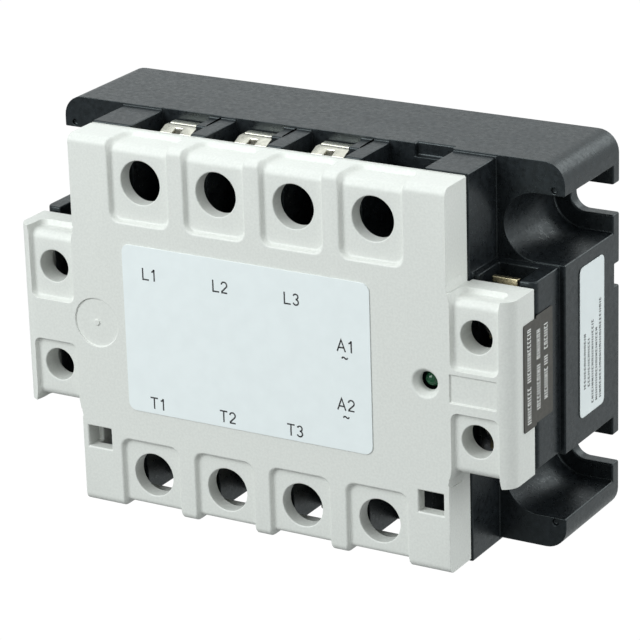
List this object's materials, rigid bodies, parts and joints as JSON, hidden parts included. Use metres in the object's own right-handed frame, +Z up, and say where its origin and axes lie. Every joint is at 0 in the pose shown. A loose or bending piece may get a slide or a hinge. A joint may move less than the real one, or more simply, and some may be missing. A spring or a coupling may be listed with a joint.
{
  "type": "solid state relay",
  "caption": "Three-phase solid state relay: black moulded housing on an aluminium base plate, slotted mounting ears, screw clamp terminals and a light grey clip-on terminal cover.",
  "frame": {"origin": "centre of the aluminium base plate's back face, which is the mounting plane", "axes": "+X to the right seen from the front, +Y into the heat sink, so the cover faces -Y, +Z up with the L terminals at the top"},
  "size_m": [0.1032, 0.0412, 0.0726],
  "materials": {
    "black_plastic": "moulded black plastic with a fine matte grain",
    "grey_plastic": "light grey moulded plastic with a fine matte grain",
    "aluminium": "rolled aluminium plate",
    "nickel": "nickel plated metal, satin",
    "brass": "plated brass strip",
    "ceramic": "alumina ceramic with copper bonded on it",
    "silicon": "silicon chip",
    "board_green": "printed circuit board",
    "component_black": "moulded component body",
    "varistor_blue": "epoxy coated varistor",
    "led_green": "dark green clear plastic",
    "label_white": "satin white film label",
    "seal_grey": "dark grey film seal"
  },
  "bodies": {
    "housing": {"housing": "black_plastic", "base_plate": "aluminium", "control_board": "board_green", "status_led": "led_green", "light_guide": "led_green", "input_rectifier": "component_black", "smoothing_capacitor": "component_black", "side_label": "label_white", "seal_housing_half": "seal_grey", "control_bar_A1": "brass", "control_bar_A2": "brass", "power_substrate_L1": "ceramic", "thyristor_L1_forward": "silicon", "thyristor_L1_reverse": "silicon", "opto_coupler_L1": "component_black", "varistor_L1": "varistor_blue", "terminal_bar_L1": "nickel", "terminal_bar_T1": "nickel", "power_substrate_L2": "ceramic", "thyristor_L2_forward": "silicon", "thyristor_L2_reverse": "silicon", "opto_coupler_L2": "component_black", "varistor_L2": "varistor_blue", "terminal_bar_L2": "nickel", "terminal_bar_T2": "nickel", "power_substrate_L3": "ceramic", "thyristor_L3_forward": "silicon", "thyristor_L3_reverse": "silicon", "opto_coupler_L3": "component_black", "varistor_L3": "varistor_blue", "terminal_bar_L3": "nickel", "terminal_bar_T3": "nickel"},
    "cover": {"terminal_cover": "grey_plastic", "front_label": "label_white", "seal_cover_half": "seal_grey"},
    "clamp_L1": {"clamp_plate_L1": "nickel"},
    "screw_L1": {"clamp_screw_L1": "nickel"},
    "clamp_L2": {"clamp_plate_L2": "nickel"},
    "screw_L2": {"clamp_screw_L2": "nickel"},
    "clamp_L3": {"clamp_plate_L3": "nickel"},
    "screw_L3": {"clamp_screw_L3": "nickel"},
    "clamp_T1": {"clamp_plate_T1": "nickel"},
    "screw_T1": {"clamp_screw_T1": "nickel"},
    "clamp_T2": {"clamp_plate_T2": "nickel"},
    "screw_T2": {"clamp_screw_T2": "nickel"},
    "clamp_T3": {"clamp_plate_T3": "nickel"},
    "screw_T3": {"clamp_screw_T3": "nickel"},
    "clamp_A1": {"control_clamp_A1": "brass"},
    "screw_A1": {"control_screw_A1": "nickel"},
    "clamp_A2": {"control_clamp_A2": "brass"},
    "screw_A2": {"control_screw_A2": "nickel"}
  },
  "joints": [
    {"name": "cover_slide", "type": "slide", "parent": "housing", "child": "cover", "axis": [0, -1, 0], "range_m": [0, 0.03]},
    {"name": "clamp_L1_lift", "type": "slide", "parent": "housing", "child": "clamp_L1", "axis": [0, -1, 0], "range_m": [0, 0.0032]},
    {"name": "screw_L1_turn", "type": "hinge", "parent": "clamp_L1", "child": "screw_L1", "pos_m": [-0.0237, -0.0263, 0.0276], "axis": [0, -1, 0], "range_deg": [0, 1440.01]},
    {"name": "clamp_L2_lift", "type": "slide", "parent": "housing", "child": "clamp_L2", "axis": [0, -1, 0], "range_m": [0, 0.0032]},
    {"name": "screw_L2_turn", "type": "hinge", "parent": "clamp_L2", "child": "screw_L2", "pos_m": [-0.0079, -0.0263, 0.0276], "axis": [0, -1, 0], "range_deg": [0, 1440.01]},
    {"name": "clamp_L3_lift", "type": "slide", "parent": "housing", "child": "clamp_L3", "axis": [0, -1, 0], "range_m": [0, 0.0032]},
    {"name": "screw_L3_turn", "type": "hinge", "parent": "clamp_L3", "child": "screw_L3", "pos_m": [0.0079, -0.0263, 0.0276], "axis": [0, -1, 0], "range_deg": [0, 1440.01]},
    {"name": "clamp_T1_lift", "type": "slide", "parent": "housing", "child": "clamp_T1", "axis": [0, -1, 0], "range_m": [0, 0.0032]},
    {"name": "screw_T1_turn", "type": "hinge", "parent": "clamp_T1", "child": "screw_T1", "pos_m": [-0.0237, -0.0263, -0.0286], "axis": [0, -1, 0], "range_deg": [0, 1440.01]},
    {"name": "clamp_T2_lift", "type": "slide", "parent": "housing", "child": "clamp_T2", "axis": [0, -1, 0], "range_m": [0, 0.0032]},
    {"name": "screw_T2_turn", "type": "hinge", "parent": "clamp_T2", "child": "screw_T2", "pos_m": [-0.0079, -0.0263, -0.0286], "axis": [0, -1, 0], "range_deg": [0, 1440.01]},
    {"name": "clamp_T3_lift", "type": "slide", "parent": "housing", "child": "clamp_T3", "axis": [0, -1, 0], "range_m": [0, 0.0032]},
    {"name": "screw_T3_turn", "type": "hinge", "parent": "clamp_T3", "child": "screw_T3", "pos_m": [0.0079, -0.0263, -0.0286], "axis": [0, -1, 0], "range_deg": [0, 1440.01]},
    {"name": "clamp_A1_lift", "type": "slide", "parent": "housing", "child": "clamp_A1", "axis": [0, -1, 0], "range_m": [0, 0.002]},
    {"name": "screw_A1_turn", "type": "hinge", "parent": "clamp_A1", "child": "screw_A1", "pos_m": [0.0434, -0.0309, 0.0091], "axis": [0, -1, 0], "range_deg": [0, 1440.01]},
    {"name": "clamp_A2_lift", "type": "slide", "parent": "housing", "child": "clamp_A2", "axis": [0, -1, 0], "range_m": [0, 0.002]},
    {"name": "screw_A2_turn", "type": "hinge", "parent": "clamp_A2", "child": "screw_A2", "pos_m": [0.0434, -0.0309, -0.01005], "axis": [0, -1, 0], "range_deg": [0, 1440.01]}
  ],
  "couplings": [
    {"joint": "screw_L1_turn", "follows": "clamp_L1_lift", "rad_per_m": 7854},
    {"joint": "screw_L2_turn", "follows": "clamp_L2_lift", "rad_per_m": 7854},
    {"joint": "screw_L3_turn", "follows": "clamp_L3_lift", "rad_per_m": 7854},
    {"joint": "screw_T1_turn", "follows": "clamp_T1_lift", "rad_per_m": 7854},
    {"joint": "screw_T2_turn", "follows": "clamp_T2_lift", "rad_per_m": 7854},
    {"joint": "screw_T3_turn", "follows": "clamp_T3_lift", "rad_per_m": 7854},
    {"joint": "screw_A1_turn", "follows": "clamp_A1_lift", "rad_per_m": 12566},
    {"joint": "screw_A2_turn", "follows": "clamp_A2_lift", "rad_per_m": 12566}
  ]
}
